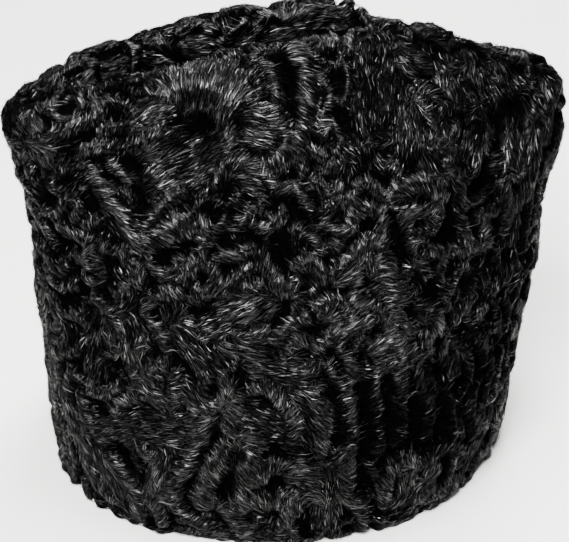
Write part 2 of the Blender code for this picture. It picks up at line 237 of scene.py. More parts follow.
# Curls
# Karakul is a young lamb's pelt, and its hair grows in tight rolls, each one arched across its own run.
# The rolls that show in the photo are charted, each row as its width and then its run, in pixels of the
# photo's frame. Elsewhere like rolls are planted at chance, with grooves between them.
CURLS = [
    # left tip and the slope under its ridge
    (11, (50, 99), (46, 109), (55, 119), (72, 120), (83, 108), (79, 96)),
    (13, (26, 141), (45, 137), (62, 132), (80, 127), (95, 120), (104, 112)),
    (13, (70, 156), (95, 148), (118, 149), (140, 145), (157, 135)),
    (12, (98, 107), (111, 103), (122, 106), (129, 113)),
    (12, (103, 133), (115, 127), (128, 126), (136, 131)),
    (10, (166, 134), (164, 120), (160, 106)),
    (10, (180, 105), (184, 116), (193, 124)),
    (12, (66, 169), (80, 164), (90, 168), (96, 180), (105, 190)),
    (12, (24, 112), (33, 106), (42, 108)),
    (12, (33, 158), (46, 165), (60, 163)),
    # far ridge, and its slope down to the crown
    (14, (48, 79), (64, 71), (77, 66)),
    (12, (84, 59), (92, 65), (95, 77)),
    (14, (124, 44), (134, 54), (132, 66)),
    (13, (146, 44), (156, 40), (168, 52), (172, 64)),
    (15, (183, 30), (198, 24), (213, 28)),
    (17, (222, 44), (234, 35), (246, 26)),
    (15, (254, 30), (266, 20), (280, 14)),
    (15, (284, 19), (300, 9), (322, 10), (344, 15)),
    (13, (346, 12), (353, 25), (346, 37)),
    (8, (96, 86), (108, 82), (122, 80), (135, 76), (150, 72), (167, 67)),
    # upper middle
    (26, (292, 50), (303, 66), (305, 82), (304, 100), (302, 120), (297, 138), (285, 152), (271, 162)),
    (20, (252, 62), (268, 72), (276, 88), (275, 104)),
    (16, (254, 78), (258, 90), (250, 101)),
    (21, (258, 110), (272, 120), (283, 131), (284, 142)),
    (13, (318, 74), (326, 88), (329, 102), (322, 114), (318, 127), (325, 140)),
    (12, (345, 68), (349, 83), (344, 98)),
    (14, (361, 116), (365, 132), (376, 140), (389, 138)),
    (13, (334, 126), (341, 138), (336, 149)),
    (12, (321, 173), (333, 170), (345, 157)),
    (12, (298, 148), (311, 151), (322, 158)),
    (17, (219, 183), (224, 168), (238, 161), (251, 167)),
    (15, (262, 176), (270, 186), (282, 188)),
    (14, (296, 188), (304, 202), (315, 215)),
    (13, (315, 186), (330, 192), (341, 188)),
    (12, (324, 213), (335, 206), (343, 197)),
    # upper right
    (16, (398, 48), (412, 52), (425, 65)),
    (16, (403, 63), (414, 78), (428, 88), (441, 99)),
    (14, (411, 91), (424, 106), (434, 124)),
    (15, (418, 27), (432, 33), (441, 42)),
    (14, (444, 69), (458, 66), (470, 61)),
    (13, (452, 84), (448, 96), (453, 106)),
    (12, (467, 80), (474, 90), (476, 100)),
    (12, (486, 74), (498, 80), (496, 88)),
    (12, (498, 95), (512, 92), (523, 87), (531, 79), (532, 70)),
    (15, (545, 68), (553, 82), (551, 98)),
    (17, (529, 128), (532, 113), (538, 101)),
    (14, (470, 106), (482, 104), (493, 98)),
    (12, (482, 110), (488, 122), (492, 135), (488, 146), (476, 153)),
    (15, (435, 147), (446, 142), (456, 134), (459, 122)),
    (12, (511, 136), (512, 152), (508, 168), (502, 184)),
    (12, (521, 138), (523, 156), (517, 172)),
    (13, (538, 134), (537, 156), (533, 178)),
    (13, (458, 172), (470, 177), (480, 168), (479, 156)),
    (12, (430, 177), (442, 172), (451, 163)),
    (14, (382, 164), (394, 172), (396, 184)),
    # left side, middle
    (12, (44, 214), (54, 217), (60, 209)),
    (14, (89, 176), (96, 190), (104, 202), (114, 208), (123, 214)),
    (13, (61, 231), (76, 238), (89, 246), (84, 256)),
    (17, (121, 217), (128, 232), (138, 241), (151, 240), (164, 232), (178, 226), (192, 217)),
    (16, (149, 226), (158, 212), (170, 201), (181, 194)),
    (12, (154, 250), (166, 245), (178, 240)),
    (14, (147, 264), (160, 276), (176, 278), (192, 272), (203, 264)),
    (11, (93, 298), (103, 308), (119, 309), (130, 302)),
    (12, (58, 319), (71, 317), (82, 324)),
    (12, (85, 336), (96, 330), (106, 331)),
    (12, (112, 320), (119, 330), (110, 340)),
    (14, (158, 300), (171, 296), (184, 298), (197, 301)),
    (12, (79, 262), (88, 268), (96, 262)),
    (12, (103, 252), (116, 254), (128, 250)),
    (12, (118, 294), (129, 289), (139, 283)),
    (13, (151, 324), (158, 334), (163, 346)),
    (13, (102, 356), (112, 350), (130, 348), (146, 343)),
    (13, (52, 190), (64, 196), (76, 192)),
    (13, (50, 282), (60, 290), (72, 287)),
    (12, (126, 264), (137, 270), (141, 282)),
    # middle
    (18, (178, 224), (190, 232), (201, 226), (208, 234)),
    (13, (194, 216), (203, 206), (215, 204)),
    (15, (205, 248), (212, 238), (220, 230), (228, 220)),
    (12, (241, 226), (246, 213), (258, 208), (266, 203)),
    (14, (219, 263), (230, 258), (242, 256), (252, 250), (260, 257)),
    (14, (178, 276), (192, 270), (204, 266), (211, 272), (215, 283)),
    (14, (199, 295), (214, 294), (228, 292), (244, 292), (258, 289)),
    (12, (227, 285), (239, 279), (249, 272)),
    (17, (262, 264), (271, 276), (276, 288), (286, 293)),
    (16, (287, 247), (298, 233), (309, 235), (319, 247)),
    (14, (320, 223), (332, 230), (343, 234), (354, 230)),
    (12, (321, 259), (328, 249), (341, 246), (343, 238)),
    (14, (300, 268), (310, 264), (321, 271)),
    (13, (350, 219), (356, 208), (351, 198)),
    (14, (361, 215), (370, 210), (379, 216), (380, 228), (385, 239)),
    (14, (360, 252), (371, 244), (382, 246)),
    (16, (342, 270), (352, 262), (363, 262), (371, 270)),
    (12, (313, 298), (320, 284), (329, 277)),
    (17, (323, 308), (336, 303), (347, 312), (353, 323), (344, 335)),
    (14, (371, 306), (380, 316), (386, 328)),
    (14, (234, 330), (248, 337), (264, 334)),
    (16, (281, 338), (292, 326), (306, 321)),
    (14, (294, 348), (308, 344), (319, 348), (328, 341)),
    (13, (358, 187), (368, 182), (378, 193), (389, 196)),
    (12, (292, 286), (299, 298), (296, 310)),
    # right side, middle
    (21, (401, 192), (416, 186), (429, 188), (440, 197)),
    (14, (387, 201), (398, 212), (408, 219)),
    (15, (414, 210), (428, 216), (440, 210)),
    (14, (401, 221), (408, 236), (410, 248), (413, 258)),
    (14, (419, 240), (430, 232), (440, 224), (447, 215)),
    (14, (433, 252), (446, 257), (458, 252), (470, 253), (479, 247)),
    (14, (480, 220), (487, 230), (487, 243), (479, 250)),
    (14, (461, 184), (460, 200), (459, 216), (464, 232), (468, 246)),
    (11, (466, 207), (478, 202), (488, 196), (493, 188)),
    (15, (504, 190), (508, 202), (508, 216), (503, 230)),
    (24, (385, 260), (388, 278), (398, 292)),
    (10, (417, 261), (412, 272), (403, 281)),
    (12, (422, 262), (428, 274), (424, 284)),
    (11, (444, 262), (441, 276), (444, 291)),
    (12, (451, 294), (454, 285), (460, 278)),
    (16, (487, 297), (498, 287), (508, 277)),
    (18, (391, 308), (400, 322), (398, 336)),
    (18, (422, 304), (436, 311), (437, 324), (428, 337)),
    (11, (468, 318), (476, 332), (485, 345)),
    (12, (486, 336), (498, 329), (500, 316)),
    (13, (458, 320), (464, 308), (474, 300)),
    (13, (515, 258), (519, 270), (515, 282)),
    (13, (528, 214), (525, 230), (523, 246)),
    # long curls above the lower band
    (13, (385, 350), (378, 366), (374, 384), (377, 402)),
    (17, (398, 344), (402, 360), (398, 378), (402, 395)),
    (14, (425, 351), (416, 364), (419, 378), (421, 392)),
    (11, (444, 350), (447, 366), (453, 380), (460, 372), (456, 358)),
    (12, (455, 343), (465, 350), (470, 362), (470, 376)),
    (11, (479, 342), (486, 352), (484, 368)),
    (12, (491, 362), (490, 378), (486, 392)),
    (13, (283, 355), (294, 346), (302, 338)),
    (14, (303, 373), (312, 368), (320, 361)),
    (12, (304, 387), (313, 395), (322, 389)),
    (14, (256, 391), (266, 389), (278, 397)),
    (15, (340, 352), (350, 362), (352, 376)),
    (14, (330, 372), (340, 384), (348, 398)),
    # lower left
    (12, (90, 395), (106, 399), (117, 389)),
    (11, (128, 370), (135, 378), (129, 386)),
    (12, (142, 376), (152, 370), (163, 365)),
    (14, (173, 378), (170, 392), (168, 404), (173, 418)),
    (12, (115, 412), (124, 403), (136, 401)),
    (12, (76, 377), (86, 384), (97, 386)),
    (13, (205, 376), (200, 390), (206, 403), (218, 408), (226, 396), (225, 379)),
    (20, (232, 396), (233, 410), (227, 424), (230, 438)),
    (22, (207, 416), (204, 430), (200, 446), (190, 464), (180, 480), (174, 497)),
    (25, (234, 441), (226, 456), (216, 472), (208, 488), (206, 503)),
    (22, (248, 438), (253, 455), (246, 470), (242, 486), (240, 500)),
    (18, (110, 460), (122, 478), (132, 492), (134, 511)),
    (16, (142, 452), (156, 460), (160, 474), (152, 486)),
    (16, (84, 440), (84, 458), (92, 472)),
    (16, (98, 488), (110, 499), (120, 503)),
    (13, (190, 410), (186, 420), (192, 428)),
    # lower middle and right
    (16, (275, 401), (286, 412), (290, 424), (290, 436)),
    (22, (318, 405), (322, 422), (320, 441)),
    (22, (347, 404), (351, 422), (350, 440), (347, 456)),
    (21, (376, 410), (378, 428), (377, 448)),
    (20, (400, 404), (400, 422), (397, 440)),
    (20, (426, 400), (428, 416), (425, 434)),
    (19, (450, 396), (449, 414), (452, 434)),
    (18, (471, 396), (470, 414), (474, 434)),
    (20, (261, 480), (272, 468), (286, 469), (293, 480)),
    (25, (300, 464), (311, 480), (307, 495)),
    (20, (338, 458), (347, 474), (342, 494)),
    (14, (283, 494), (296, 499), (310, 500), (324, 493)),
    (21, (238, 510), (257, 503), (276, 506), (292, 513)),
    (14, (281, 528), (290, 520), (298, 513)),
    (19, (221, 511), (232, 524), (238, 536)),
    (19, (352, 502), (362, 512), (360, 524)),
    (21, (386, 502), (388, 484), (394, 468), (407, 459)),
    (18, (409, 464), (423, 464), (434, 471)),
    (17, (428, 476), (428, 488), (418, 498)),
    (15, (435, 455), (448, 448), (460, 453)),
    (14, (453, 459), (450, 472), (444, 484)),
    (14, (484, 405), (493, 399), (498, 389)),
    (13, (464, 408), (474, 416), (486, 424)),
    (16, (174, 508), (186, 520), (200, 526)),
    (16, (148, 500), (156, 512), (160, 522)),
]
# Hair that lies flat, without curls: how far it reaches to each side, its sheen from 0 to 1, and where
# it lies from and to.
FLATS = [
    (16, 1.0, (197, 104), (205, 70)), (12, 0.9, (228, 112), (243, 82)), (12, 0.8, (222, 138), (232, 104)),
    (12, 0.7, (180, 98), (172, 78)), (16, 0.6, (158, 178), (214, 146)), (14, 0.5, (160, 192), (204, 170)),
    (14, 0.8, (132, 128), (166, 108)),
    (12, 1.0, (212, 104), (224, 70)), (12, 0.9, (186, 102), (184, 74)), (12, 0.8, (234, 106), (256, 86)),
    (12, 0.6, (170, 100), (152, 84)), (15, 0.4, (242, 112), (276, 120)), (14, 0.4, (242, 130), (272, 138)),
    (12, 0.45, (148, 152), (184, 136)),
    (11, 1.0, (332, 318), (358, 304)), (11, 0.9, (338, 336), (362, 324)), (10, 0.9, (344, 276), (364, 264)),
    (10, 0.9, (380, 296), (400, 284)), (11, 1.0, (382, 348), (404, 334)), (10, 0.9, (386, 366), (406, 352)),
    (15, 0.22, (366, 48), (363, 112)), (15, 0.22, (388, 48), (386, 112)),
    (14, 0.3, (352, 150), (378, 160)), (16, 0.6, (264, 303), (226, 320)), (14, 0.5, (240, 312), (210, 328)),
    (12, 0.3, (172, 318), (170, 304)), (14, 0.1, (110, 212), (136, 246)), (12, 0.3, (66, 196), (84, 182)),
    (14, 0.3, (285, 34), (326, 16)), (12, 0.4, (112, 70), (126, 62)), (12, 0.8, (158, 38), (172, 64)),
    (14, 0.5, (20, 112), (34, 140)), (12, 0.5, (52, 158), (70, 156)), (14, 0.3, (345, 172), (350, 196)),
    (14, 0.3, (518, 205), (514, 240)), (12, 0.4, (536, 110), (552, 100)), (12, 0.4, (78, 446), (88, 474)),
    (14, 0.45, (98, 434), (130, 428)), (14, 0.4, (128, 440), (190, 430)),
    (16, 0.4, (98, 462), (122, 500)), (16, 0.4, (166, 456), (150, 500)),
    (14, 0.5, (146, 392), (168, 402)), (12, 0.5, (184, 390), (194, 402)), (11, 0.4, (146, 420), (172, 424)),
    (16, 0.4, (440, 50), (450, 90)), (16, 0.4, (470, 62), (480, 100)), (16, 0.4, (500, 72), (505, 100)),
    (16, 0.4, (525, 85), (540, 120)), (16, 0.45, (552, 85), (548, 125)),
    (16, 0.4, (520, 120), (515, 160)), (16, 0.4, (535, 140), (530, 190)),
    (16, 0.35, (455, 100), (440, 135)), (16, 0.35, (480, 125), (470, 165)),
    (16, 0.4, (410, 110), (405, 150)), (16, 0.3, (375, 120), (360, 165)), (16, 0.4, (425, 150), (440, 175)),
    (15, 0.3, (244, 416), (268, 424)), (13, 0.25, (250, 440), (282, 446)),
    (14, 0.35, (302, 400), (320, 416)), (14, 0.3, (304, 426), (318, 446)), (16, 0.35, (262, 370), (300, 374)),
    (16, 0.4, (60, 395), (72, 430)), (16, 0.35, (98, 330), (92, 378)), (16, 0.4, (128, 330), (140, 372)),
    (16, 0.35, (490, 420), (470, 460)), (16, 0.35, (330, 480), (326, 520)), (16, 0.4, (180, 330), (206, 362)),
    (12, 0.4, (228, 346), (254, 352)), (12, 0.35, (234, 178), (256, 184)),
    (12, 0.5, (411, 472), (409, 496)), (12, 0.4, (420, 484), (398, 500)),
    (14, 0.6, (178, 50), (220, 46)), (14, 0.6, (236, 45), (290, 34)), (12, 0.6, (138, 62), (170, 60)),
]
# Small deep hollows between curls, sunk deeper and also darkened as painted shade: place, radius and depth
# from 0 to 1.
HOLLOWS = [
    (63, 108, 8, 1.0), (116, 115, 8, 0.8), (119, 140, 9, 0.8), (62, 153, 9, 0.7), (100, 90, 6, 1.0),
    (112, 86, 6, 1.0), (124, 84, 6, 1.0), (137, 84, 6, 1.0), (150, 83, 6, 1.0), (174, 116, 5, 0.8),
    (197, 126, 10, 1.0), (75, 80, 6, 0.6), (98, 72, 5, 0.6), (115, 50, 6, 0.7), (228, 47, 7, 0.4),
    (265, 36, 7, 0.3), (234, 124, 8, 0.8),
    (287, 86, 5, 0.8), (286, 108, 5, 0.8), (232, 184, 8, 0.7), (338, 76, 5, 0.5), (330, 140, 7, 0.6),
    (436, 52, 8, 0.8), (424, 76, 7, 0.6), (514, 70, 8, 0.6), (518, 106, 10, 1.0), (497, 120, 8, 0.8),
    (455, 112, 8, 0.8), (467, 162, 9, 0.8), (488, 166, 7, 0.7), (412, 161, 8, 0.8), (370, 172, 8, 0.6),
    (60, 248, 11, 0.8), (75, 275, 8, 0.6), (108, 283, 9, 0.6), (66, 298, 8, 0.6), (72, 331, 9, 0.8),
    (133, 305, 8, 0.5), (207, 213, 9, 1.0), (235, 212, 9, 0.7), (228, 243, 8, 0.7), (280, 252, 14, 1.0),
    (228, 272, 8, 0.5), (205, 312, 7, 0.8), (268, 308, 6, 0.6), (306, 302, 8, 0.8), (312, 288, 7, 0.7),
    (332, 262, 8, 0.8), (318, 218, 7, 0.8), (362, 226, 6, 0.6), (372, 302, 9, 0.8), (336, 312, 6, 0.5),
    (322, 330, 7, 0.6), (396, 236, 7, 0.9), (396, 250, 7, 0.9), (406, 265, 7, 0.8), (430, 288, 12, 1.0),
    (424, 226, 7, 0.7), (452, 208, 7, 0.9), (452, 224, 8, 0.9), (452, 240, 7, 0.9), (476, 264, 8, 0.8),
    (508, 256, 9, 0.8), (491, 184, 7, 0.7), (485, 300, 6, 0.7), (470, 335, 7, 0.7), (478, 375, 8, 0.7),
    (440, 375, 8, 0.8), (455, 388, 8, 0.7), (428, 362, 6, 0.6), (210, 390, 8, 1.0), (178, 458, 6, 0.8),
    (136, 471, 9, 0.7), (122, 503, 6, 0.8), (192, 484, 7, 0.9), (208, 452, 6, 0.8), (235, 456, 6, 0.8),
    (231, 488, 7, 0.5), (213, 516, 8, 0.4), (258, 528, 7, 0.3), (272, 452, 10, 0.9), (292, 487, 7, 0.8),
    (310, 520, 7, 0.6), (370, 510, 7, 0.7), (338, 440, 9, 0.8), (365, 416, 8, 0.7), (365, 440, 8, 0.7),
    (387, 420, 8, 0.7), (412, 430, 7, 0.5), (438, 425, 7, 0.5), (402, 447, 9, 0.7), (118, 452, 8, 0.5),
    (240, 384, 6, 0.6),
]
# Spots of painted sheen and painted shade, where the coat is made glossier, or duller and darker, than
# elsewhere: place, radius and how many times as much.
PAINTED_SHEEN_AND_SHADE = [
    (440, 425, 80, 0.12), (485, 375, 52, 0.25), (380, 428, 44, 0.2), (500, 330, 42, 0.35),
    (518, 262, 40, 0.30), (526, 215, 24, 0.35), (374, 82, 34, 0.40), (510, 105, 20, 0.35),
    (60, 262, 25, 0.45), (58, 322, 28, 0.55), (80, 465, 30, 0.70), (66, 200, 20, 0.50),
    (100, 352, 32, 0.42), (60, 165, 14, 0.50), (280, 250, 18, 0.35), (280, 455, 20, 0.45),
    (200, 118, 14, 0.35), (484, 88, 55, 0.60), (405, 130, 14, 0.60), (440, 290, 15, 0.50),
    (362, 160, 14, 0.50), (225, 205, 14, 0.55), (345, 120, 20, 0.60), (376, 134, 18, 0.50),
    (125, 85, 16, 0.30), (175, 168, 22, 0.40), (142, 124, 16, 0.55), (263, 78, 28, 0.40),
    (303, 75, 20, 0.60), (290, 105, 20, 0.70), (292, 135, 14, 0.60), (232, 310, 20, 0.40),
    (146, 232, 22, 0.45), (480, 120, 16, 0.60), (240, 125, 12, 0.50), (200, 78, 18, 1.6),
    (190, 220, 14, 1.6), (350, 270, 22, 1.5), (345, 320, 20, 3.2), (392, 338, 18, 2.8), (385, 288, 16, 1.7),
    (430, 330, 14, 1.5), (225, 395, 18, 1.6), (440, 135, 14, 1.5), (470, 230, 14, 1.3), (90, 115, 18, 1.4),
    (515, 175, 14, 1.5), (420, 468, 18, 2.5), (286, 418, 14, 1.6), (232, 80, 14, 1.7), (168, 390, 14, 0.6),
    (292, 168, 18, 1.3), (300, 190, 14, 1.3), (255, 215, 14, 1.2), (440, 70, 14, 1.2), (50, 120, 20, 1.3),
    (245, 322, 12, 1.3),
]
# The step along a charted run in pixels, and along a planted one.
CHART_STEP = 4.0
CURL_STEP = 0.0021
# Planted rolls: their width, how much it changes over what distance and at chance, the most steps and the
# bend at each, the share of their width that they keep from each other, and the width and most steps of
# those that fill what is left.
CURL_WIDTH = 0.0060
WIDTH_CHANGE = 0.45
WIDTH_SIZE = 0.022
WIDTH_CHANCE = 0.15
LONGEST_CURL = 9
CURL_BEND = 0.28
CURL_GAP = 0.86
FILL_WIDTH = 0.0036
LONGEST_FILL = 3
TRIES = 7000
MOST_ROWS = 20000
CURL_SEED = 5
# The columns of a row that hold its point, its normal and its radius.
POINT, NORMAL, RADIUS = 0, 1, 4
# Their sheen: its middle, how much it changes over what distance, and the least of it.
SHEEN_MIDDLE = 0.65
SHEEN_CHANGE = 1.1
SHEEN_SIZE = 0.014
LEAST_SHEEN = 0.25
# Flat locks on the sides that the photo hides: how many are tried, their reach, steps and sheen. A place
# is hidden where less than this much of it faces the camera.
SHEET_TRIES = 260
SHEET_REACH = 0.0072
SHEET_STEPS = (3, 8)
SHEET_SHEEN = (0.25, 0.5)
HIDDEN = 0.12
# The lay of the hair drifts in long sweeps and in short ones.
FLOW_SIZE = 0.036
FLOW_TURN = 2.6
FLOW_DETAIL_SIZE = 0.012
FLOW_DETAIL_TURN = 2.0
# How far the hair on a roll slants from straight across it, in radians.
CURL_SLANT = 0.5
BEND_SLANT = 0.35
MOST_SLANT = 1.1
# How high a roll of this radius stands over the ground, the most that a wider one does, and the least
# that a narrow one does, as shares of it.
CURL_RISE = 0.0031
FULL_RADIUS = 0.003
TALLEST = 1.15
LEAST_CHARTED = 0.75
LEAST_PLANTED = 0.6
# How high a flat lock stands over the ground, and where the ground lies under the solid's surface. A
# hollow is deeper by this and takes this share off the height of what stands in it.
FLAT_RISE = 0.0022
GROUND = -0.0023
GROUND_ROUGHNESS = 0.0004
ROUGHNESS_SIZE = 0.0028
HOLLOW_DEPTH = 0.0010
HOLLOW_SHARE = 0.6
# A roll's top is round like a circle at 0.5 and like a parabola at 1. It leans toward its hair's tips,
# and its edges wobble.
ROUND_POWER = 0.62
CURL_LEAN = 0.25
WOBBLE = 0.0009
WOBBLE_SIZE = 0.006
# The pelt's thickness is looked for from this far under the surface and this deep, or else taken as
# usual. The ground stays this far off its inner side, but may always sink to the shallowest level. The
# rim stays clear of the floor.
SEARCH_START = 0.0008
SEARCH_DEPTH = 0.005
USUAL_DEPTH = 0.0032
SKIN_LEFT = 0.0006
SHALLOWEST = -0.0013
RIM_CLEARANCE = 0.0002
# Rows are looked up in cells of this size, and their floors are blended over it. The lay of a roll
# blends into its neighbours', out to this square of its radius.
CELL = 0.0078
LAY_REACH = 1.5
FAINT_LAY = 1e-4
# A row counts only where the cap faces its way: by this much for its relief, and by this much for
# another roll to need room beside it.
RELIEF_FACING = 0.1
ROOM_FACING = 0.2
# The crest of a roll gleams from this share of its height on, to full gloss within this span. Less
# gloss than the least is none. Below the crests the hair is darker and nearly without gloss, a painted shade.
CHARTED_SHEEN = 0.8
GLOSS_FROM = 0.5
GLOSS_SPAN = 0.4
LEAST_GLOSS = 0.05
# The room that a hair has: on a roll by how much longer its arc is than its width, on a flat lock the
# more of it the more it gleams, and on the ground.
ARC_SHARE = 1.6
OPEN_ROOM = 0.007
DULL_ROOM = 0.35
GROUND_ROOM = 0.0035

chance = np.random.default_rng(CURL_SEED)
# Without a seed of its own, the noise behind the wobble would differ from run to run.
noise.seed_set(CURL_SEED)
all_points = np.concatenate([sheets[node][0] for node in SEEDS])
all_normals = np.concatenate([sheets[node][2] for node in SEEDS])
all_fronts = np.concatenate([np.full(len(sheets[node][0]), toward[1]) for node, toward in SEEDS.items()])
point_starts = np.cumsum([0] + [len(sheets[node][0]) for node in SEEDS])
whole_side = BVHTree.FromPolygons(
    all_points.tolist(),
    np.concatenate([sheets[node][1] + start for node, start in zip(SEEDS, point_starts)]).tolist())


def unit(vectors):
    """The vectors at length 1."""
    return vectors / np.maximum(np.linalg.norm(vectors, axis=-1, keepdims=True), 1e-9)


def along_surface(vectors, normals):
    """Unit vectors with their part along the normals taken out."""
    return unit(vectors - (vectors * normals).sum(-1, keepdims=True) * normals)


def on_cap(x, y):
    """The point and normal of the hair side behind a pixel of the photo, or None beside the cap."""
    sight = Vector(sight_line(x, y))
    place, normal, _, _ = whole_side.ray_cast(Vector(view_eye), sight)
    if place is None:
        return None
    return np.array(place), np.array(normal if normal.dot(sight) < 0 else -normal)


def charted_run(run):
    """Evenly spaced pixels along a charted run."""
    spots = []
    for (x0, y0), (x1, y1) in zip(run, run[1:]):
        steps = max(1, round(math.hypot(x1 - x0, y1 - y0) / CHART_STEP))
        spots += [(x0 + (x1 - x0) * k / steps, y0 + (y1 - y0) * k / steps) for k in range(steps)]
    return spots + [run[-1]]


def roll_rows(points, normals, radius, rise, sheen, flat):
    """A row for each step of a roll: point, normal, run, lay, radius, half step, rise, sheen, flatness."""
    points, normals = np.array(points), np.array(normals)
    steps = np.gradient(points, axis=0)
    run = along_surface(steps, normals)
    across = np.cross(normals, run)
    # The tips of the hair point up the view and a little right.
    if (across @ (view_up + 0.3 * view_right)).sum() < 0:
        across = -across
    bend = math.acos(min(max(float(run[0] @ run[-1]), -1.0), 1.0))
    most = min(CURL_SLANT + BEND_SLANT * bend, MOST_SLANT)
    slant = chance.choice((-1, 1)) * chance.uniform(0.5, 1.0) * most
    lay = math.cos(slant) * across + math.sin(slant) * run
    half = np.linalg.norm(steps, axis=1) / 2
    return [(*row, radius, step, rise, sheen, flat)
            for row, step in zip(zip(points, normals, run, run if flat else lay), half)]


def roll_rise(radius, least):
    """How high a roll with a radius stands, and at least this share of the full height."""
    return CURL_RISE * min(max(radius / FULL_RADIUS, least), TALLEST)


def charted_rolls():
    """The rows of every charted roll and flat."""
    rows = []
    charts = [(width / 2, CHARTED_SHEEN, 0.0, run) for width, *run in CURLS]
    charts += [(reach, sheen, 1.0, run) for reach, sheen, *run in FLATS]
    for radius, sheen, flat, run in charts:
        found = [hit for hit in (on_cap(x, y) for x, y in charted_run(run)) if hit]
        if len(found) < 2:
            continue
        radius = radius / PIXELS_PER_METRE
        rise = FLAT_RISE if flat else roll_rise(radius, LEAST_CHARTED)
        rows += roll_rows([hit[0] for hit in found], [hit[1] for hit in found], radius, rise, sheen, flat)
    return rows


def flow(point, normal, front):
    """The way that hair lies at a point: over the ridges, turned by smooth chance about the normal."""
    side = 1.0 if (point[1] if front == 0 else front) < 0 else -1.0
    # At the two tips, where no way leads over a ridge, it lies upward.
    over = side * np.cross(normal, (1.0, 0.0, 0.0)) + 0.5 * abs(normal[0]) * np.array([0.0, 0.0, 1.0])
    up = along_surface(over, normal)
    turn = FLOW_TURN * noise.noise(Vector(point) / FLOW_SIZE)
    turn += FLOW_DETAIL_TURN * noise.noise(Vector(point) / FLOW_DETAIL_SIZE + Vector((7.0, 3.0, 1.0)))
    return math.cos(turn) * up + math.sin(turn) * np.cross(normal, up)


point_tree = KDTree(len(all_points))
for number, point in enumerate(all_points):
    point_tree.insert(point, number)
point_tree.balance()


def nearest_point(place):
    """The number of the hair side's point nearest to a place."""
    return point_tree.find(place)[1]


def next_step(place, heading):
    """The hair side's point one step on from a place, its normal, and the heading there."""
    found = np.array(whole_side.find_nearest(Vector(place + CURL_STEP * heading))[0])
    up = all_normals[nearest_point(found)]
    return found, up, along_surface(found - place, up)


def planted_sheets():
    """Rows of hair that lies flat, from starts at chance where the photo shows nothing."""
    planted = []
    for start in chance.choice(len(all_points), SHEET_TRIES, replace=False):
        point, normal = all_points[start], all_normals[start]
        if normal @ (view_eye - point) > HIDDEN * np.linalg.norm(view_eye - point):
            continue
        chain, heading = [(point, normal)], flow(point, normal, all_fronts[start])
        for _ in range(chance.integers(*SHEET_STEPS)):
            point, normal, heading = next_step(point, heading)
            chain.append((point, normal))
        sheen = chance.uniform(*SHEET_SHEEN)
        planted += roll_rows([row[0] for row in chain], [row[1] for row in chain], SHEET_REACH, FLAT_RISE,
                             sheen, 1.0)
    return planted


def planted_rolls(rows, width, longest):
    """Rows of the rolls that find room beside all rows so far, from starts at chance."""
    taken = np.zeros((MOST_ROWS, 3))
    facing = np.zeros((MOST_ROWS, 3))
    reach = np.zeros(MOST_ROWS)
    columns = ((POINT, taken), (NORMAL, facing), (RADIUS, reach))
    count = len(rows)
    for column, values in columns:
        values[:count] = [row[column] for row in rows]
    planted = []

    def open_at(point, normal, radius):
        away = ((taken[:count] - point) ** 2).sum(1)
        near = away < (CURL_GAP * (reach[:count] + radius)) ** 2
        return not (near & (facing[:count] @ normal > ROOM_FACING)).any()

    for start in chance.choice(len(all_points), TRIES, replace=False):
        point, normal = all_points[start], all_normals[start]
        change = noise.noise(Vector(point) / WIDTH_SIZE + Vector((1.0, 4.0, 8.0)))
        radius = width / 2 * (1 + WIDTH_CHANGE * change + chance.uniform(-WIDTH_CHANCE, WIDTH_CHANCE))
        steps, bend = chance.integers(1, longest + 1), chance.normal(0, CURL_BEND)
        if not open_at(point, normal, radius):
            continue
        run = np.cross(normal, flow(point, normal, all_fronts[start]))
        chain = [(point, normal)]
        for way in (1, -1):
            place, up, heading = point, normal, way * run
            for _ in range(steps // 2 + 1):
                side = way * np.cross(up, heading)
                heading = along_surface(math.cos(bend) * heading + math.sin(bend) * side, up)
                found, found_up, found_heading = next_step(place, heading)
                if not open_at(found, found_up, radius):
                    break
                place, up, heading = found, found_up, found_heading
                chain.insert(0 if way < 0 else len(chain), (place, up))
        if len(chain) < 2:
            continue
        change = noise.noise(Vector(point) / SHEEN_SIZE)
        sheen = min(max(SHEEN_MIDDLE + SHEEN_CHANGE * change, LEAST_SHEEN), 1.0)
        new = roll_rows([row[0] for row in chain], [row[1] for row in chain], radius,
                        roll_rise(radius, LEAST_PLANTED), sheen, 0.0)
        for column, values in columns:
            values[count:count + len(new)] = [row[column] for row in new]
        count += len(new)
        planted += new
    return planted


rows = charted_rolls()
rows += planted_rolls(rows, CURL_WIDTH, LONGEST_CURL)
rows += planted_rolls(rows, FILL_WIDTH, LONGEST_FILL)
rows += planted_sheets()
(row_points, row_normals, row_runs, row_lays, row_radius, row_half, row_rise, row_sheen,
 row_flat) = (np.array(column) for column in zip(*rows))


def row_floors():
    """How far the hair side may sink at each row without passing through the pelt's inner side."""
    solid_sides = [BVHTree.FromBMesh(solid) for solid in solids.values()]
    floors = []
    for point, normal in zip(row_points, row_normals):
        start, inward = Vector(point - SEARCH_START * normal), Vector(-normal)
        hits = [side.ray_cast(start, inward, SEARCH_DEPTH) for side in solid_sides]
        gap = min((hit[3] for hit in hits if hit[0]), default=USUAL_DEPTH)
        floors.append(-(gap + SEARCH_START - SKIN_LEFT))
    return np.minimum(np.array(floors), SHALLOWEST)


row_floor = row_floors()


def charted_spots(spots):
    """The spots of a chart that lie on the cap: point and normal, radius in metres, and value."""
    placed = [(on_cap(x, y), radius / PIXELS_PER_METRE, value) for x, y, radius, value in spots]
    return [spot for spot in placed if spot[0]]


hollow_spots, sheen_and_shade_spots = charted_spots(HOLLOWS), charted_spots(PAINTED_SHEEN_AND_SHADE)


def nearness(points, normals, hit, radius):
    """How near each point is to a spot, from 1 at its middle to 0, on the same side of the cap."""
    away = ((points - hit[0]) ** 2).sum(1)
    return np.exp(-away / radius ** 2) * ((normals @ hit[1]) > 0)


def hollowed(points, normals):
    """How deep in a charted hollow each point is, from 0 to 1."""
    return np.max([depth * nearness(points, normals, hit, radius)
                   for hit, radius, depth in hollow_spots], axis=0)


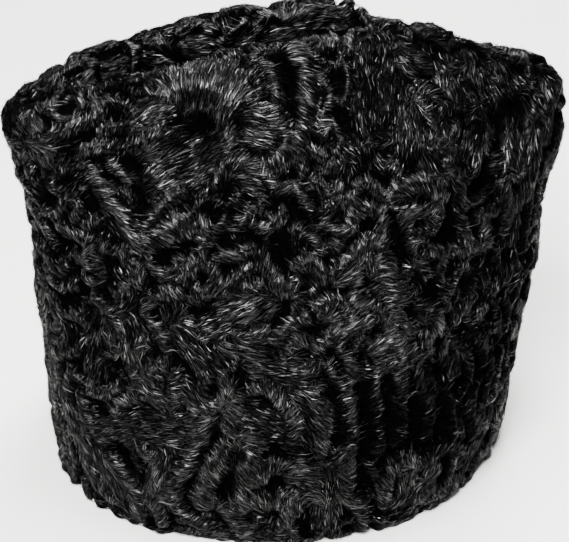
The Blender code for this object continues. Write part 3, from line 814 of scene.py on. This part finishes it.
def sheen_and_shade_factor(points, normals):
    """How many times as much as elsewhere the coat gleams at each point, by the spots of painted sheen and
    painted shade.
    """
    return np.prod([1 + (value - 1) * nearness(points, normals, hit, radius)
                    for hit, radius, value in sheen_and_shade_spots], axis=0)


def curl_field(points, normals):
    """For each point: the roll over it, its profile and place across it, the lay, and the lowest level."""
    cells = {}
    for k, key in enumerate(map(tuple, np.floor(row_points / CELL).astype(int))):
        cells.setdefault(key, []).append(k)
    best, profile, place = (np.zeros(len(points), kind) for kind in (int, float, float))
    lays, weights, floors = np.zeros_like(points), np.full(len(points), 1e-9), np.zeros(len(points))
    keys, group = np.unique(np.floor(points / CELL).astype(int), axis=0, return_inverse=True)
    order = np.argsort(group.reshape(-1), kind="stable")
    starts = np.searchsorted(group.reshape(-1)[order], np.arange(len(keys) + 1))
    around = [(i, j, k) for i in (-1, 0, 1) for j in (-1, 0, 1) for k in (-1, 0, 1)]
    for cell, key in enumerate(keys):
        here = order[starts[cell]:starts[cell + 1]]
        near = [k for step in around for k in cells.get(tuple(key + step), ())]
        if not near:
            continue
        away = points[here][:, None] - row_points[near][None]
        side = (away * np.cross(row_normals[near], row_runs[near])).sum(2)
        ahead = np.maximum(np.abs((away * row_runs[near]).sum(2)) - row_half[near], 0)
        share = (side ** 2 + ahead ** 2) / row_radius[near] ** 2
        facing = normals[here] @ row_normals[near].T > RELIEF_FACING
        round_top = np.clip(1 - share, 0, 1) ** np.where(row_flat[near] > 0, 1.0, ROUND_POWER) * facing
        top = (round_top * row_rise[near]).argmax(1)
        lines = np.arange(len(here))
        best[here] = np.array(near)[top]
        profile[here] = round_top[lines, top]
        place[here] = side[lines, top]
        weight = (np.clip(LAY_REACH - share, 0, None) ** 2 + FAINT_LAY * np.exp(-share)) * facing
        lays[here] = weight @ row_lays[near]
        reach = np.clip(1 - (away ** 2).sum(2) / CELL ** 2, 0, 1) ** 2 * facing
        floors[here] = reach @ row_floor[near]
        weights[here] += reach.sum(1)
    return best, profile, place, along_surface(lays, normals), np.minimum(floors / weights, SHALLOWEST)


def curled(points, normals):
    """The points moved out to the curls, and for the hair there its lay, its gloss (low as painted shade in
    grooves and hollows) and its room.
    """
    wobble = np.array([noise.noise_vector(Vector(p) / WOBBLE_SIZE) for p in points])
    rough = np.array([noise.noise(Vector(p) / ROUGHNESS_SIZE) for p in points])
    best, profile, place, lay, floor = curl_field(points + WOBBLE * wobble, normals)
    place *= np.sign((row_lays[best] * np.cross(row_normals[best], row_runs[best])).sum(1))
    depth = hollowed(points, normals)
    rise = row_rise[best] * profile * (1 - HOLLOW_SHARE * depth)
    level = np.maximum(GROUND + rise + GROUND_ROUGHNESS * rough - HOLLOW_DEPTH * depth, floor)
    moved = points + level[:, None] * normals + (CURL_LEAN * rise)[:, None] * lay
    moved[:, 2] = np.maximum(moved[:, 2], RIM_CLEARANCE)
    flat = row_flat[best] * (profile > 0)
    crest = np.clip((profile - GLOSS_FROM) / GLOSS_SPAN, 0, 1)
    # Here the charted spots raise the gloss as painted sheen or lower it as painted shade.
    sheen = np.clip(row_sheen[best] * sheen_and_shade_factor(points, normals), 0, 1)
    # Gloss is kept to the crests and lowered in hollows; where it is low the hair is dark and barely glossy,
    # a painted shade.
    gloss = sheen * (1 - depth) ** 2 * np.where(flat > 0, np.clip(2 * profile, 0, 1), crest)
    gloss[gloss < LEAST_GLOSS] = 0
    room = np.where(profile > 0, (row_radius[best] - place) * ARC_SHARE, GROUND_ROOM)
    open_room = OPEN_ROOM * (DULL_ROOM + (1 - DULL_ROOM) * row_sheen[best])
    room = np.where(flat > 0, open_room, room)
    return moved, lay, gloss, room


# Pelt
# The skin with the hair's curled ground on its outer side, in the three pieces that it is sewn from.
# The inner side is bare skin. Each piece is one closed body in its CAD solid's place. Lamb's hair is
# 0.03 mm thick, too fine to show, so the streaks in the coat are drawn about ten times as wide.
STREAK_WIDTH = 0.00034
STREAK_LENGTH = 0.0045
STREAK_RISE = 0.00012
STREAK_TURN = 0.25


def colour(text):
    """A hex colour such as 1a1815 as linear red, green, blue and alpha."""
    parts = [int(text[i:i + 2], 16) / 255 for i in (0, 2, 4)]
    return [c / 12.92 if c <= 0.04045 else ((c + 0.055) / 1.055) ** 2.4 for c in parts] + [1.0]


def add_node(tree, kind, settings=None, inputs=None):
    """A new node; inputs are values or the sockets that feed them, by name or number."""
    node = tree.nodes.new(kind)
    for name, value in (settings or {}).items():
        setattr(node, name, value)
    for name, value in (inputs or {}).items():
        if isinstance(value, bpy.types.NodeSocket):
            tree.links.new(value, node.inputs[name])
        else:
            node.inputs[name].default_value = value
    return node


def new_material(name):
    """An empty material, its tree and its Principled node."""
    material = bpy.data.materials.new(name)
    material.use_nodes = True
    tree = material.node_tree
    tree.nodes.clear()
    surface = add_node(tree, "ShaderNodeBsdfPrincipled")
    add_node(tree, "ShaderNodeOutputMaterial", inputs={"Surface": surface.outputs["BSDF"]})
    return material, tree, surface


def two_shades(tree, share, dark, light):
    """A colour that goes from one hex colour to another with a share from 0 to 1."""
    return add_node(tree, "ShaderNodeMix", {"data_type": "RGBA"}, {
        0: share, 6: colour(dark), 7: colour(light)}).outputs[2]


def combed_gloss(tree, surface, level):
    """Makes a surface gleam in bands across the run of its hair, at a level from its nodes."""
    across = add_node(tree, "ShaderNodeAttribute", {"attribute_name": "across"}).outputs["Vector"]
    tree.links.new(across, surface.inputs["Tangent"])
    surface.inputs["Anisotropic"].default_value = 0.95
    surface.inputs["IOR"].default_value = 1.45
    # The export drops a linked level, so the socket keeps a plain one as well.
    surface.inputs["Specular IOR Level"].default_value = 0.3
    tree.links.new(level.outputs[0], surface.inputs["Specular IOR Level"])


def streak_map(points, triangles):
    """For each corner of each triangle, its place across and along the hair, tuft by tuft, in metres."""
    tree = KDTree(len(row_points))
    for i, point in enumerate(row_points):
        tree.insert(point, i)
    tree.balance()
    middles = points[triangles].mean(1)
    tuft = np.array([tree.find(middle)[1] for middle in middles])
    turns = chance.uniform(-STREAK_TURN, STREAK_TURN, len(row_points))[:, None]
    side = np.cross(row_normals, row_lays)
    along = np.cos(turns) * row_lays + np.sin(turns) * side
    across = np.cross(row_normals, along)
    shift = chance.uniform(0, 0.5, (len(row_points), 2))
    away = points[triangles] - row_points[tuft][:, None]
    u = (away * across[tuft][:, None]).sum(2) + shift[tuft, :1]
    v = (away * along[tuft][:, None]).sum(2) + shift[tuft, 1:]
    return np.stack([u, v], axis=2)


def closed_pelt(node, moved):
    """A pelt piece as one closed body: its curled hair side, its cut edges and its bare inner side."""
    solid, hair_side, (_, triangles, _, runs) = solids[node], set(hair_sides[node]), sheets[node]
    places = {start: run[0] for (start, _), run in runs.items()}
    border = border_runs(node)
    inner_points, rings = [], []
    for face in solid.faces:
        if face in hair_side:
            continue
        ring = []
        for a, b in zip(face.verts, list(face.verts[1:]) + [face.verts[0]]):
            if a not in places:
                places[a] = len(moved) + len(inner_points)
                inner_points.append(a.co[:])
            ring += border[a, b][:-1] if (a, b) in border else [places[a]]
        rings.append(ring)
    mesh = bpy.data.meshes.new(node + "_pelt")
    mesh.from_pydata(moved.tolist() + inner_points, [], triangles.tolist() + rings)
    mesh.shade_smooth()
    for face in mesh.polygons[len(triangles):]:
        _, outward, _, _ = whole_side.find_nearest(face.center)
        face.material_index = int(face.normal.dot(outward) < -FACING)
    border_edges = {tuple(sorted(pair)) for run in border.values() for pair in zip(run, run[1:])}
    body = bmesh.new()
    body.from_mesh(mesh)
    for edge in body.edges:
        edge.smooth = tuple(sorted(v.index for v in edge.verts)) not in border_edges
    bmesh.ops.triangulate(body, faces=[face for face in body.faces if len(face.verts) > 3])
    body.to_mesh(mesh)
    body.free()
    return mesh


def pelt_material():
    """The hair side: near-black, with fine streaks along the hair that gleam across it on the crests, and no
    gleam in the painted shade of grooves, hollows and dark spots.
    """
    pelt, tree, surface = new_material("karakul pelt")
    streak = add_node(tree, "ShaderNodeMapping", inputs={
        "Vector": add_node(tree, "ShaderNodeUVMap", {"uv_map": "streaks"}).outputs[0],
        "Scale": (1 / STREAK_WIDTH, 1 / STREAK_LENGTH, 1.0)})
    fibres = add_node(tree, "ShaderNodeTexNoise", {"noise_dimensions": "2D"}, {
        "Vector": streak.outputs[0], "Scale": 1.0, "Detail": 1.5, "Roughness": 0.6})
    shade = add_node(tree, "ShaderNodeMapRange", inputs={
        "Value": fibres.outputs[0], "From Min": 0.35, "From Max": 0.75}).outputs[0]
    tree.links.new(two_shades(tree, shade, "010101", "040404"), surface.inputs["Base Color"])
    rough = add_node(tree, "ShaderNodeMapRange", inputs={"Value": shade, "To Min": 0.5, "To Max": 0.34})
    tree.links.new(rough.outputs[0], surface.inputs["Roughness"])
    bump = add_node(tree, "ShaderNodeBump", inputs={
        "Height": fibres.outputs[0], "Distance": STREAK_RISE, "Strength": 0.8})
    tree.links.new(bump.outputs[0], surface.inputs["Normal"])
    strength = add_node(tree, "ShaderNodeMath", {"operation": "POWER"}, {0: shade, 1: 2.0})
    # The gloss is lowered in grooves, hollows and charted spots, where the pelt is left dark as painted
    # shade.
    gloss = add_node(tree, "ShaderNodeAttribute", {"attribute_name": "gloss"}).outputs["Fac"]
    level = add_node(tree, "ShaderNodeMath", {"operation": "MULTIPLY"}, {0: strength.outputs[0], 1: gloss})
    combed_gloss(tree, surface, level)
    return pelt


def skin_material():
    """The inner side: tanned skin, dyed dark, with a fine nap."""
    skin, tree, surface = new_material("dyed bare skin")
    place = add_node(tree, "ShaderNodeTexCoord").outputs["Object"]
    patches = add_node(tree, "ShaderNodeTexNoise", inputs={"Vector": place, "Scale": 45.0, "Detail": 4.0})
    nap = add_node(tree, "ShaderNodeTexNoise", inputs={"Vector": place, "Scale": 1800.0, "Detail": 3.0})
    shades = two_shades(tree, patches.outputs[0], "0f0c0b", "1f1916")
    tree.links.new(shades, surface.inputs["Base Color"])
    bump = add_node(tree, "ShaderNodeBump", inputs={
        "Height": nap.outputs[0], "Distance": 0.0002, "Strength": 0.8})
    tree.links.new(bump.outputs[0], surface.inputs["Normal"])
    surface.inputs["Roughness"].default_value = 0.9
    surface.inputs["Specular IOR Level"].default_value = 0.2
    return skin


coats = {}
pelt, skin = pelt_material(), skin_material()
for node, (points, triangles, normals, _) in sheets.items():
    moved, lay, gloss, room = curled(points, normals)
    coats[node] = (moved, triangles, lay, gloss, room)
    mesh = closed_pelt(node, moved)
    streaks = np.zeros((len(mesh.loops), 2))
    streaks[:3 * len(triangles)] = streak_map(points, triangles).reshape(-1, 2)
    mesh.uv_layers.new(name="streaks").data.foreach_set("uv", streaks.ravel())
    shine = np.zeros(len(mesh.vertices), np.float32)
    shine[:len(gloss)] = gloss
    mesh.attributes.new("gloss", "FLOAT", "POINT").data.foreach_set("value", shine)
    across = np.tile((1.0, 0.0, 0.0), (len(mesh.vertices), 1))
    across[:len(lay)] = np.cross(normals, lay)
    mesh.attributes.new("across", "FLOAT_VECTOR", "POINT").data.foreach_set("vector", across.ravel())
    mesh.materials.append(pelt)
    mesh.materials.append(skin)
    piece = bpy.data.objects.new(mesh.name, mesh)
    bpy.context.scene.collection.objects.link(piece)
    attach(piece, "root")
    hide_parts(node)


# Hair
# Short, glossy hairs lie across each roll, from its foot over its crest. In the grooves the hairs are darker
# and nearly without gloss, a painted shade.
# Geometry Nodes scatter them over the pelt, turn each one to the lay and press it to the surface. A real
# hair is too fine to show, so each is drawn as wide as a small tuft.
HAIR_LENGTH = 0.0050
HAIR_WIDTH = 0.00020
# How much longer or wider than that a hair can be.
LENGTH_SPREAD = (0.6, 1.25)
WIDTH_SPREAD = (0.7, 1.3)
# How far the tip of a hair stands off the pelt. Most lie close, at the least share of this lift, and few
# stand up to the most over it. Each bends away from the pelt by a power of its length.
HAIR_LIFT = 0.0005
LEAST_STAND = 0.35
MOST_STAND = 2.4
FEW_POWER = 5.0
BEND_POWER = 1.3
# How far all of a hair stays off the pelt, and its height over the floor.
HAIR_OFF_PELT = 0.00015
HAIR_OFF_FLOOR = 0.0003
# How far single hairs and whole tufts turn from the lay, in radians, how large a tuft is, and how far a
# hair tilts sideways.
HAIR_STRAY = 0.17
HAIR_TUFT_TURN = 0.45
HAIR_TUFT_SIZE = 0.0035
HAIR_ROLL = 0.5
# The room that a hair needs to grow, and over how much more room the coat reaches full density.
LEAST_ROOM = 0.0008
ROOM_SPAN = 0.0012
# For each piece of pelt, the hairs on a square metre of its crests and of its grooves, and into how many
# pieces each of these two kinds is split.
HAIRS_PER_AREA = {"near_panel": (3.2e6, 1.7e6), "far_panel": (1.6e6, 1.2e6), "crown": (2.2e6, 1.6e6)}
HAIR_PIECES = {"near_panel": (2, 1), "far_panel": (1, 1), "crown": (1, 1)}
# A hair that the pressing has stretched over a groove has larger faces than this, and they are cut out.
LARGEST_FACE = 0.5e-6
# Each point of a hair along it and to its side, and the triangles between them.
CREST_HAIR = ([(0.0, 0.0), (0.3, -1.0), (0.3, 1.0), (0.7, -0.8), (0.7, 0.8), (1.0, 0.0)],
              [(0, 1, 2), (1, 3, 2), (3, 4, 2), (3, 5, 4)])
GROOVE_HAIR = ([(0.0, 0.0), (0.45, -1.0), (0.45, 1.0), (1.0, 0.0)], [(0, 1, 2), (1, 3, 2)])


def hair_shape(name, points, faces):
    """One hair lying along X, one unit long and wide."""
    mesh = bpy.data.meshes.new(name)
    mesh.from_pydata([(along, side / 2, 0.0) for along, side in points], [], faces)
    for part, number in (("along", 0), ("side", 1)):
        mesh.attributes.new(part, "FLOAT", "POINT").data.foreach_set("value", [p[number] for p in points])
    shape = bpy.data.objects.new(mesh.name, mesh)
    bpy.context.scene.collection.objects.link(shape)
    return shape


def hair_tree():
    """The node tree that lays hairs over a surface."""
    tree = bpy.data.node_groups.new("hair", "GeometryNodeTree")
    face = tree.interface
    face.new_socket("Surface", in_out="INPUT", socket_type="NodeSocketGeometry")
    face.new_socket("Hair", in_out="INPUT", socket_type="NodeSocketObject")
    for name in ("Density", "Length", "Width", "Lift", "Stray", "Tuft Turn", "Tuft Size", "Roll"):
        face.new_socket(name, in_out="INPUT", socket_type="NodeSocketFloat")
    face.new_socket("Seed", in_out="INPUT", socket_type="NodeSocketInt")
    face.new_socket("Material", in_out="INPUT", socket_type="NodeSocketMaterial")
    face.new_socket("Hairs", in_out="OUTPUT", socket_type="NodeSocketGeometry")

    def named(name, kind="FLOAT"):
        return add_node(tree, "GeometryNodeInputNamedAttribute", {"data_type": kind},
                        {"Name": name}).outputs[0]

    def maths(operation, a, b=0.0):
        return add_node(tree, "ShaderNodeMath", {"operation": operation}, {0: a, 1: b}).outputs[0]

    def randomly(low, high, seed):
        return add_node(tree, "FunctionNodeRandomValue", {"data_type": "FLOAT"},
                        {2: low, 3: high, 8: seed}).outputs[1]

    def kept(geometry, name, value, kind="FLOAT"):
        return add_node(tree, "GeometryNodeStoreNamedAttribute", {"data_type": kind, "domain": "POINT"},
                        {"Geometry": geometry, "Name": name, "Value": value}).outputs[0]

    # The last number of each random value is its fixed seed.
    given = add_node(tree, "NodeGroupInput").outputs
    scatter = add_node(tree, "GeometryNodeDistributePointsOnFaces", inputs={
        "Mesh": given["Surface"], "Density": maths("MULTIPLY", given["Density"], named("coat")),
        "Seed": given["Seed"]})
    aim = add_node(tree, "FunctionNodeAxesToRotation", {"primary_axis": "Z", "secondary_axis": "X"}, {
        "Primary Axis": scatter.outputs["Normal"], "Secondary Axis": named("lay", "FLOAT_VECTOR")})
    place = add_node(tree, "GeometryNodeInputPosition").outputs[0]
    tufts = add_node(tree, "ShaderNodeTexNoise", inputs={
        "Vector": place, "Scale": maths("DIVIDE", 1.0, given["Tuft Size"]), "Detail": 0.0})
    tuft_turn = maths("MULTIPLY", maths("SUBTRACT", tufts.outputs[0], 0.5),
                      maths("MULTIPLY", given["Tuft Turn"], 2.0))
    stray = randomly(maths("MULTIPLY", given["Stray"], -1.0), given["Stray"], 11)
    swing = add_node(tree, "FunctionNodeEulerToRotation", inputs={
        0: add_node(tree, "ShaderNodeCombineXYZ", inputs={"Z": maths("ADD", stray, tuft_turn)}).outputs[0]})
    turned = add_node(tree, "FunctionNodeRotateRotation", {"rotation_space": "LOCAL"},
                      {"Rotation": aim.outputs[0], "Rotate By": swing.outputs[0]}).outputs[0]
    across = add_node(tree, "FunctionNodeRotateVector", inputs={
        "Vector": (0.0, 1.0, 0.0), "Rotation": turned})
    length = maths("MULTIPLY", given["Length"], randomly(*LENGTH_SPREAD, 12))
    length = maths("MINIMUM", length, named("room"))
    width = maths("MULTIPLY", given["Width"], randomly(*WIDTH_SPREAD, 13))
    size = add_node(tree, "ShaderNodeCombineXYZ", inputs={"X": length, "Y": width, "Z": 1.0})
    roots = kept(scatter.outputs["Points"], "tilt", randomly(-1.0, 1.0, 14))
    stand = maths("MULTIPLY", maths("POWER", randomly(0.0, 1.0, 15), FEW_POWER), MOST_STAND)
    roots = kept(roots, "raise", maths("ADD", stand, LEAST_STAND))
    clumps = add_node(tree, "ShaderNodeTexNoise", inputs={
        "Vector": place, "Scale": maths("DIVIDE", 1.6, given["Tuft Size"]), "Detail": 1.0})
    clump = add_node(tree, "ShaderNodeMapRange", inputs={
        "Value": clumps.outputs[0], "From Min": 0.3, "From Max": 0.7, "To Min": 0.35, "To Max": 1.15})
    roots = kept(roots, "shade", maths("MULTIPLY", randomly(0.0, 1.0, 16), clump.outputs[0]))
    roots = kept(roots, "number", add_node(tree, "GeometryNodeInputIndex").outputs[0])
    roots = kept(roots, "across", across.outputs[0], "FLOAT_VECTOR")
    blade = add_node(tree, "GeometryNodeObjectInfo", inputs={"Object": given["Hair"]})
    spread = add_node(tree, "GeometryNodeInstanceOnPoints", inputs={
        "Points": roots, "Instance": blade.outputs["Geometry"], "Rotation": turned,
        "Scale": size.outputs[0]})
    real = add_node(tree, "GeometryNodeRealizeInstances", inputs={"Geometry": spread.outputs[0]})
    nearest = add_node(tree, "GeometryNodeProximity", {"target_element": "FACES"},
                       {"Target": given["Surface"], "Source Position": place})
    normal = add_node(tree, "GeometryNodeSampleNearestSurface", {"data_type": "FLOAT_VECTOR"}, {
        "Mesh": given["Surface"], "Value": add_node(tree, "GeometryNodeInputNormal").outputs[0],
        "Sample Position": place})
    rise = maths("MULTIPLY", maths("MULTIPLY", given["Lift"], named("raise")),
                 maths("POWER", named("along"), BEND_POWER))
    edge = maths("MULTIPLY", maths("MULTIPLY", named("side"), named("tilt")),
                 maths("MULTIPLY", given["Width"], maths("MULTIPLY", given["Roll"], 0.5)))
    height = maths("ADD", maths("ADD", rise, edge), HAIR_OFF_PELT)
    out = add_node(tree, "ShaderNodeVectorMath", {"operation": "SCALE"},
                   {"Vector": normal.outputs[0], "Scale": height})
    pressed = add_node(tree, "ShaderNodeVectorMath", {"operation": "ADD"},
                       {0: nearest.outputs["Position"], 1: out.outputs[0]})
    above = add_node(tree, "ShaderNodeVectorMath", {"operation": "MAXIMUM"},
                     {0: pressed.outputs[0], 1: (-10.0, -10.0, HAIR_OFF_FLOOR)})
    laid = add_node(tree, "GeometryNodeSetPosition", inputs={
        "Geometry": real.outputs[0], "Position": above.outputs[0]})
    area = add_node(tree, "GeometryNodeInputMeshFaceArea").outputs[0]
    stretched = maths("GREATER_THAN", area, LARGEST_FACE)
    whole = add_node(tree, "GeometryNodeDeleteGeometry", {"domain": "FACE"}, {
        "Geometry": laid.outputs[0], "Selection": stretched})
    last = add_node(tree, "GeometryNodeSetShadeSmooth", inputs={"Geometry": whole.outputs[0]}).outputs[0]
    for name in ("tilt", "raise", "lay", "coat", "room"):
        last = add_node(tree, "GeometryNodeRemoveAttribute", inputs={
            "Geometry": last, "Name": name}).outputs[0]
    painted = add_node(tree, "GeometryNodeSetMaterial", inputs={
        "Geometry": last, "Material": given["Material"]})
    add_node(tree, "NodeGroupOutput", inputs={0: painted.outputs[0]})
    return tree


def whole_coat():
    """All three hair sides as one surface, with the lay and the room of the hair on it."""
    points, triangles, lays, glosses, rooms = zip(*coats.values())
    sizes = [len(part) for part in points]
    starts = np.cumsum([0] + sizes)
    mesh = bpy.data.meshes.new("whole coat")
    mesh.from_pydata(np.concatenate(points), [],
                     np.concatenate([faces + start for faces, start in zip(triangles, starts)]))
    mesh.shade_smooth()
    lay_data = mesh.attributes.new("lay", "FLOAT_VECTOR", "POINT").data
    lay_data.foreach_set("vector", np.concatenate(lays).ravel())
    mesh.attributes.new("room", "FLOAT", "POINT").data.foreach_set("value", np.concatenate(rooms))
    mesh.attributes.new("coat", "FLOAT", "POINT")
    coat = bpy.data.objects.new("whole coat", mesh)
    bpy.context.scene.collection.objects.link(coat)
    parts = np.repeat(np.arange(len(sizes)), sizes)
    return coat, parts, np.concatenate(glosses), np.concatenate(rooms)


def hair_material(name, dark, light, roughness, shine):
    """Hair that gleams across its run; each hair has its own depth of black and its own gloss."""
    hair, tree, surface = new_material(name)
    shade = add_node(tree, "ShaderNodeAttribute", {"attribute_name": "shade"}).outputs["Fac"]
    tree.links.new(two_shades(tree, shade, dark, light), surface.inputs["Base Color"])
    gloss = add_node(tree, "ShaderNodeMapRange", inputs={
        "Value": shade, "To Min": roughness + 0.12, "To Max": roughness - 0.08})
    tree.links.new(gloss.outputs[0], surface.inputs["Roughness"])
    strength = add_node(tree, "ShaderNodeMath", {"operation": "POWER"}, {0: shade, 1: 2.5})
    level = add_node(tree, "ShaderNodeMapRange", inputs={
        "Value": strength.outputs[0], "To Min": 0.01 * shine, "To Max": shine})
    combed_gloss(tree, surface, level)
    return hair


coat, coat_parts, coat_gloss, coat_rooms = whole_coat()
tree = hair_tree()
sockets = {item.name: item.identifier for item in tree.interface.items_tree if item.in_out == "INPUT"}
rooted = np.clip((coat_rooms - LEAST_ROOM) / ROOM_SPAN, 0, 1)
# Where the gloss is low, the hairs are of the dark, nearly unglossed kind, a painted shade in grooves and
# hollows.
kinds = [("crest", coat_gloss, hair_shape("crest hair", *CREST_HAIR),
          hair_material("glossy crest hair", "010101", "050505", roughness=0.42, shine=2.2)),
         ("groove", 1 - coat_gloss, hair_shape("groove hair", *GROOVE_HAIR),
          hair_material("dull groove hair", "010101", "020202", roughness=0.50, shine=0.03))]


def bake_map(mesh):
    """Gives each hair a small square of its own on a map of the whole mesh."""
    values = {}
    for name in ("along", "side", "number"):
        values[name] = np.zeros(len(mesh.vertices), np.float32)
        mesh.attributes[name].data.foreach_get("value", values[name])
        mesh.attributes.remove(mesh.attributes[name])
    corners = np.zeros(len(mesh.loops), np.int32)
    mesh.loops.foreach_get("vertex_index", corners)
    number = values["number"][corners].astype(np.int64)
    squares = math.ceil(math.sqrt(number.max() + 1))
    u = (number % squares + 0.5 + 0.4 * values["side"][corners]) / squares
    v = (number // squares + 0.1 + 0.8 * values["along"][corners]) / squares
    mesh.uv_layers.new(name="OFBake").data.foreach_set("uv", np.stack([u, v], axis=1).ravel())


for number, node in enumerate(coats):
    for kind_number, (kind, share, shape, material) in enumerate(kinds):
        pieces = HAIR_PIECES[node][kind_number]
        density = ((coat_parts == number) * share * rooted / pieces).astype(np.float32)
        coat.data.attributes["coat"].data.foreach_set("value", density)
        for part in range(pieces):
            grow = coat.modifiers.new("hair", "NODES")
            grow.node_group = tree
            seed = 100 * number + 10 * kind_number + part
            for name, value in (("Hair", shape), ("Density", HAIRS_PER_AREA[node][kind_number]),
                                ("Length", HAIR_LENGTH), ("Width", HAIR_WIDTH), ("Lift", HAIR_LIFT),
                                ("Stray", HAIR_STRAY), ("Tuft Turn", HAIR_TUFT_TURN),
                                ("Tuft Size", HAIR_TUFT_SIZE), ("Roll", HAIR_ROLL), ("Seed", seed),
                                ("Material", material)):
                grow[sockets[name]] = value
            coat.update_tag()
            bpy.context.view_layer.update()
            evaluated = coat.evaluated_get(bpy.context.evaluated_depsgraph_get())
            mesh = bpy.data.meshes.new_from_object(evaluated)
            mesh.name = f"{node}_{kind}_hair_{part + 1}"
            mesh.materials.pop(index=0)
            coat.modifiers.remove(grow)
            bake_map(mesh)
            piece = bpy.data.objects.new(mesh.name, mesh)
            bpy.context.scene.collection.objects.link(piece)
            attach(piece, "root")
for helper in (coat, *[shape for _, _, shape, _ in kinds]):
    bpy.data.objects.remove(helper)


# Floor and light
# The cap stands on a wide sheet of pale paper under soft studio light. Far from the cap the paper fades
# out into the pale studio, so no edge of it shows.
FLOOR_REACH = 2.2
FADE_START = 0.9
FLOOR_SIDES = 96
floor_mesh = bpy.data.meshes.new("floor")
rim_angles = np.linspace(0, 2 * math.pi, FLOOR_SIDES, endpoint=False)
floor_mesh.from_pydata([(FLOOR_REACH * math.cos(a), FLOOR_REACH * math.sin(a), 0.0) for a in rim_angles], [],
                       [range(len(rim_angles))])
floor = bpy.data.objects.new("floor", floor_mesh)
bpy.context.scene.collection.objects.link(floor)
# Matt paper, an even pale ground under the cap's soft shadow.
paper, tree, surface = new_material("pale paper")
surface.inputs["Base Color"].default_value = colour("f2f1ef")
surface.inputs["Roughness"].default_value = 0.9
spot = add_node(tree, "ShaderNodeTexCoord").outputs["Object"]
away = add_node(tree, "ShaderNodeVectorMath", {"operation": "LENGTH"}, {0: spot}).outputs["Value"]
fade = add_node(tree, "ShaderNodeMapRange", {"interpolation_type": "SMOOTHSTEP"}, {
    "Value": away, "From Min": FADE_START, "From Max": FLOOR_REACH, "To Min": 1.0, "To Max": 0.0})
tree.links.new(fade.outputs[0], surface.inputs["Alpha"])
floor_mesh.materials.append(paper)

world = bpy.data.worlds.new("studio")
world.use_nodes = True
world.node_tree.nodes["Background"].inputs["Color"].default_value = (1.0, 1.0, 1.0, 1.0)
# The studio looks pale behind the cap but gives hardly any light, so that the three lights shape it.
to_camera = add_node(world.node_tree, "ShaderNodeLightPath").outputs["Is Camera Ray"]
glow = add_node(world.node_tree, "ShaderNodeMapRange", inputs={
    "Value": to_camera, "To Min": 0.01, "To Max": 2.2})
world.node_tree.links.new(glow.outputs[0], world.node_tree.nodes["Background"].inputs["Strength"])
bpy.context.scene.world = world


def soft_light(name, place, size, power):
    """A square light aimed at the middle of the cap."""
    data = bpy.data.lights.new(name, "AREA")
    data.size = size
    data.energy = power
    light = bpy.data.objects.new(name, data)
    light.location = place
    light.rotation_euler = (Vector(place) - CAP_MIDDLE).to_track_quat("Z", "Y").to_euler()
    bpy.context.scene.collection.objects.link(light)


soft_light("front light", (-0.42, -0.76, 1.10), size=0.62, power=80.0)
soft_light("top light", (0.05, 0.20, 1.50), size=0.50, power=36.0)
soft_light("back light", (0.45, 1.00, 0.95), size=0.60, power=30.0)
